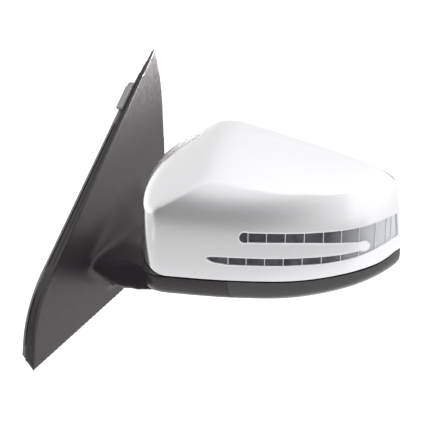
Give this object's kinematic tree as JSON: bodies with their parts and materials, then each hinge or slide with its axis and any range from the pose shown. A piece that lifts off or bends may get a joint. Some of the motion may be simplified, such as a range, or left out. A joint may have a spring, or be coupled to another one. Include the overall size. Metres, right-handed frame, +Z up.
{
  "type": "car door mirror",
  "caption": "Left-hand power-folding car door mirror: silver cap with a forked indicator lens, black foot and triangular sail cover.",
  "frame": {"origin": "on the door panel, at the centre of the circle of the three mounting studs", "axes": "+X points out from the door, +Y to the rear of the car, +Z up"},
  "size_m": [0.3151, 0.27, 0.2705],
  "materials": {
    "moulded_black": "fine-grained moulded black plastic",
    "silver_paint": "metallic silver paint under clear coat",
    "trim_black": "satin black plastic",
    "bezel_black": "fine-grained black plastic",
    "gasket_rubber": "matt rubber",
    "clear_lens": "clear polished plastic with ribs",
    "lamp_housing": "metallised dark plastic",
    "circuit_board": "white solder mask",
    "led_amber": "amber lamp body",
    "mirror_silver": "polished, silvered glass",
    "heater_film": "thin foil",
    "backing_plastic": "moulded plastic",
    "die_cast": "bead-blasted die casting",
    "frame_plastic": "glass-filled plastic",
    "gear_white": "acetal",
    "gear_steel": "sintered steel",
    "motor_can": "drawn steel can",
    "zinc_steel": "zinc-plated",
    "spring_steel": "oiled spring steel",
    "grommet_rubber": "matt rubber",
    "peg_plastic": "natural plastic"
  },
  "bodies": {
    "door_base": {"sail_cover": "moulded_black", "foot_cover_lower": "moulded_black", "sail_gasket": "gasket_rubber", "sail_clip": "moulded_black", "base_bracket": "die_cast", "mounting_studs": "zinc_steel", "bracket_screws": "zinc_steel", "locating_pegs": "peg_plastic", "cable_grommet": "grommet_rubber", "pivot_post": "zinc_steel", "detent_ring": "gear_steel", "fold_ring_gear": "gear_steel", "thrust_washer": "gear_white", "pivot_spring": "spring_steel", "spring_seat": "zinc_steel", "post_retaining_clip": "spring_steel", "pivot_seal": "grommet_rubber"},
    "mirror_head": {"front_cap": "silver_paint", "lower_cover": "trim_black", "rear_bezel": "bezel_black", "indicator_lens": "clear_lens", "indicator_housing": "lamp_housing", "indicator_board": "circuit_board", "indicator_leds": "led_amber", "fold_gearbox_housing": "frame_plastic", "detent_cam": "gear_steel", "fold_motor": "motor_can", "mirror_frame": "frame_plastic", "frame_screws": "zinc_steel", "bezel_screws": "zinc_steel", "adjuster_housing": "backing_plastic", "adjuster_cover": "backing_plastic", "adjuster_screws": "zinc_steel", "adjuster_motors": "motor_can"},
    "fold_pinion": {"fold_pinion": "gear_steel"},
    "gimbal": {"gimbal_ring": "gear_white"},
    "glass_unit": {"mirror_glass": "mirror_silver", "heater_pad": "heater_film", "glass_backing": "backing_plastic"},
    "jackscrew_pitch": {"jackscrew_pitch": "gear_white"},
    "jackscrew_yaw": {"jackscrew_yaw": "gear_white"},
    "nut_gear_pitch": {"nut_gear_pitch": "gear_white"},
    "nut_gear_yaw": {"nut_gear_yaw": "gear_white"}
  },
  "joints": [
    {"name": "head_fold", "type": "hinge", "parent": "door_base", "child": "mirror_head", "pos_m": [0.135, -0.03465, -0.032], "axis": [0, 0, 1], "range_deg": [-55, 46]},
    {"name": "fold_pinion_spin", "type": "hinge", "parent": "mirror_head", "child": "fold_pinion", "pos_m": [0.15379, -0.03066, -0.005], "axis": [0, 0, 1], "range_deg": [-170, 145]},
    {"name": "glass_tilt", "type": "hinge", "parent": "mirror_head", "child": "gimbal", "pos_m": [0.19518, 0.00932, 0.034], "axis": [0.9781, 0.2079, 0], "range_deg": [-5, 5]},
    {"name": "glass_pan", "type": "hinge", "parent": "gimbal", "child": "glass_unit", "pos_m": [0.19518, 0.00932, 0.034], "axis": [0, 0, 1], "range_deg": [-5, 5]},
    {"name": "jackscrew_pitch_slide", "type": "slide", "parent": "mirror_head", "child": "jackscrew_pitch", "axis": [-0.2079, 0.9781, 0], "range_m": [-0.00203, 0.00203]},
    {"name": "jackscrew_yaw_slide", "type": "slide", "parent": "mirror_head", "child": "jackscrew_yaw", "axis": [-0.2079, 0.9781, 0], "range_m": [-0.00203, 0.00203]},
    {"name": "nut_gear_pitch_spin", "type": "hinge", "parent": "mirror_head", "child": "nut_gear_pitch", "pos_m": [0.19965, -0.01171, 0.055], "axis": [-0.2079, 0.9781, 0], "range_deg": [-240, 240]},
    {"name": "nut_gear_yaw_spin", "type": "hinge", "parent": "mirror_head", "child": "nut_gear_yaw", "pos_m": [0.22019, -0.00734, 0.034], "axis": [-0.2079, 0.9781, 0], "range_deg": [-240, 240]}
  ],
  "couplings": [
    {"joint": "fold_pinion_spin", "follows": "head_fold", "ratio": 3},
    {"joint": "jackscrew_pitch_slide", "follows": "glass_tilt", "m_per_rad": -0.021},
    {"joint": "nut_gear_pitch_spin", "follows": "glass_tilt", "ratio": -43.982},
    {"joint": "jackscrew_yaw_slide", "follows": "glass_pan", "m_per_rad": 0.021},
    {"joint": "nut_gear_yaw_spin", "follows": "glass_pan", "ratio": 43.982}
  ]
}
